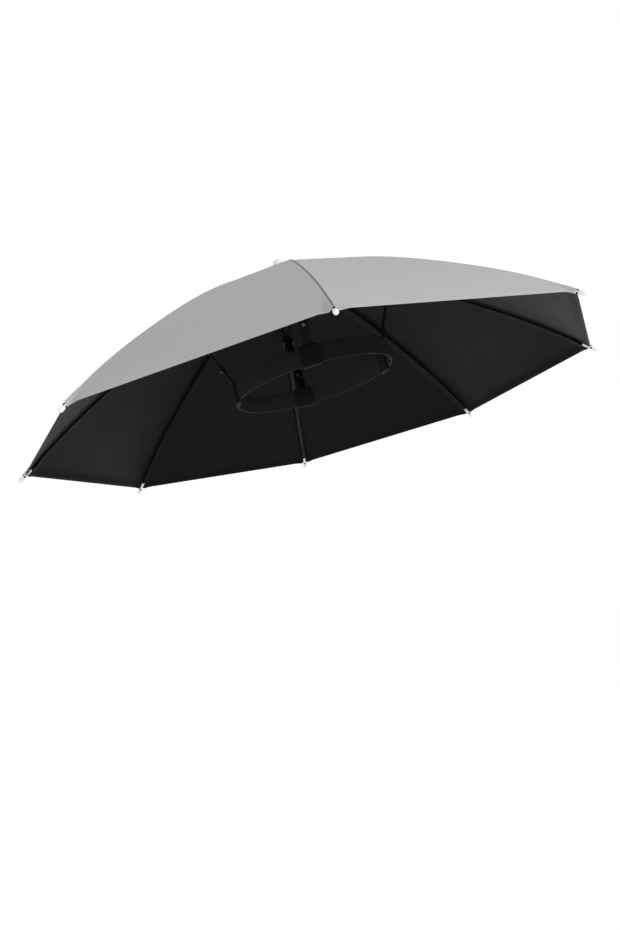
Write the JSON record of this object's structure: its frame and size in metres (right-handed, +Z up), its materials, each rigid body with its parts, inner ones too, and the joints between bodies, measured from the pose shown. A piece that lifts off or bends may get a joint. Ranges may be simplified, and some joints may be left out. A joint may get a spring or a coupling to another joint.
{
  "type": "umbrella hat",
  "caption": "Hands-free sun and rain umbrella hat: silver-grey gored canopy with black underside on black ribs with white tips, hung above an elastic headband.",
  "frame": {"origin": "centre of the headband's opening, midway up the band, where the wearer's head goes in", "axes": "+Z up along the canopy's axis, -Y the way the wearer looks, +X to the wearer's left"},
  "size_m": [0.6614, 0.6614, 0.1882],
  "materials": {
    "canopy_cloth": "silver-grey coated polyester outside, black inside, fine plain weave with a soft sheen",
    "rib_steel": "black painted steel channel, half gloss",
    "white_plastic": "white moulded plastic, soft gloss",
    "black_plastic": "black moulded plastic, satin",
    "black_elastic": "black woven elastic webbing, matt, with fine ribs along it",
    "rivet_steel": "bright nickel-plated steel"
  },
  "bodies": {
    "root": {"gore_1": "canopy_cloth", "gore_2": "canopy_cloth", "gore_3": "canopy_cloth", "gore_4": "canopy_cloth", "gore_5": "canopy_cloth", "gore_6": "canopy_cloth", "gore_7": "canopy_cloth", "gore_8": "canopy_cloth", "rib_1": "rib_steel", "rib_2": "rib_steel", "rib_3": "rib_steel", "rib_4": "rib_steel", "rib_5": "rib_steel", "rib_6": "rib_steel", "rib_7": "rib_steel", "rib_8": "rib_steel", "ferrule_1": "white_plastic", "ferrule_2": "white_plastic", "ferrule_3": "white_plastic", "ferrule_4": "white_plastic", "ferrule_5": "white_plastic", "ferrule_6": "white_plastic", "ferrule_7": "white_plastic", "ferrule_8": "white_plastic", "hub": "black_plastic", "top_cap": "white_plastic", "headband": "black_elastic", "slider_1": "black_plastic", "slider_2": "black_plastic", "slider_3": "black_plastic", "slider_4": "black_plastic", "strut_1": "black_plastic", "strut_2": "black_plastic", "strut_3": "black_plastic", "strut_4": "black_plastic", "rivet_1": "rivet_steel", "rivet_2": "rivet_steel", "rivet_3": "rivet_steel", "rivet_4": "rivet_steel", "rib_clip_1": "rib_steel", "rib_clip_2": "rib_steel", "rib_clip_3": "rib_steel", "rib_clip_4": "rib_steel"}
  },
  "joints": []
}
